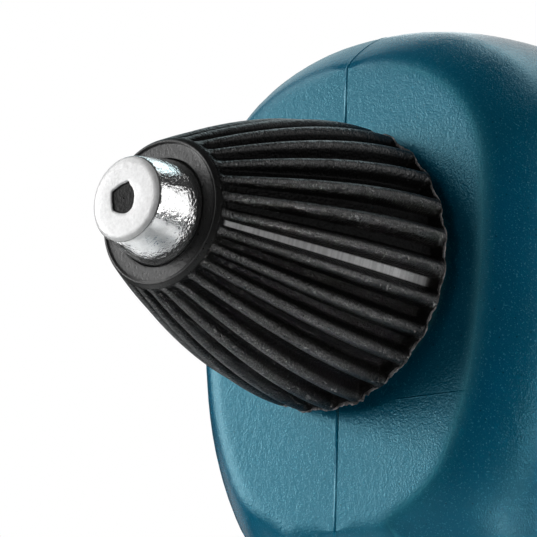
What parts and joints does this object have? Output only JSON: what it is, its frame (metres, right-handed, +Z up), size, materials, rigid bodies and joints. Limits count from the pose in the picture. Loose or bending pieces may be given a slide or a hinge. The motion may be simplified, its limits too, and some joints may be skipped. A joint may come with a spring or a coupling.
{
  "type": "hot glue gun",
  "caption": "Hot-melt glue gun: ribbed rubber cover round a metal nozzle, two-shell pistol housing on a foot, trigger that feeds the glue stick, rocker switch and stick inlet at the rear.",
  "frame": {"origin": "on the ground under the middle of the gun's length, on the plane where the two shells meet", "axes": "+X from the nozzle tip back to the stick inlet, +Y to the gun's right, +Z up"},
  "size_m": [0.1962, 0.0474, 0.1599],
  "materials": {
    "petrol_plastic": "fine spark-eroded grain",
    "grip_rubber": "matte",
    "black_rubber": "matte, granular",
    "plated_metal": "cast, bright plated",
    "cast_aluminium": "as cast",
    "brass": "turned",
    "steel": "satin",
    "ceramic": "matte ceramic",
    "insulator": "matte",
    "silicone": "satin",
    "black_plastic": "satin",
    "grey_plastic": "smooth",
    "red_plastic": "glossy"
  },
  "bodies": {
    "housing": {"housing_left": "petrol_plastic", "housing_right": "petrol_plastic", "housing_screws": "steel", "grip_pad_left": "grip_rubber", "grip_pad_right": "grip_rubber", "nozzle": "plated_metal", "nozzle_cover": "black_rubber", "valve_seat": "brass", "valve_spring": "steel", "melt_chamber": "cast_aluminium", "heater": "ceramic", "front_collar": "black_plastic", "rear_support": "insulator", "inlet_sleeve": "silicone", "sleeve_clip": "steel", "trigger_pin": "steel", "return_spring": "steel", "stick_guide": "black_plastic", "switch_body": "black_plastic", "cord_gland": "black_rubber", "cord_clamp": "black_plastic", "clamp_screws": "steel"},
    "trigger": {"trigger": "black_plastic"},
    "carriage": {"carriage": "grey_plastic", "jaw_pin": "steel"},
    "jaw": {"jaw": "steel"},
    "valve": {"valve_ball": "steel"},
    "rocker": {"switch_rocker": "red_plastic"}
  },
  "joints": [
    {"name": "trigger_pull", "type": "hinge", "parent": "housing", "child": "trigger", "pos_m": [0.0231, 0, 0.098], "axis": [0, -1, 0], "range_deg": [0, 18], "stiffness_Nm_per_rad": 0.42, "springref_deg": -14.32},
    {"name": "carriage_feed", "type": "slide", "parent": "housing", "child": "carriage", "axis": [-1, 0, 0], "range_m": [0, 0.00919], "deforming": ["return_spring"]},
    {"name": "jaw_bite", "type": "hinge", "parent": "carriage", "child": "jaw", "pos_m": [0.04069, 0, 0.1435], "axis": [0, -1, 0], "range_deg": [0, 8]},
    {"name": "valve_lift", "type": "slide", "parent": "housing", "child": "valve", "axis": [-1, 0, 0], "range_m": [0, 0.0015], "stiffness_N_per_m": 300, "springref_m": -0.002, "deforming": ["valve_spring"]},
    {"name": "switch_rock", "type": "hinge", "parent": "housing", "child": "rocker", "pos_m": [0.0628, -0.017, 0.135], "axis": [0, 0, 1], "range_deg": [0, 14]}
  ],
  "couplings": [
    {"joint": "carriage_feed", "follows": "trigger_pull", "m_per_rad": 0.029241},
    {"joint": "jaw_bite", "follows": "trigger_pull", "ratio": 0.44444}
  ]
}
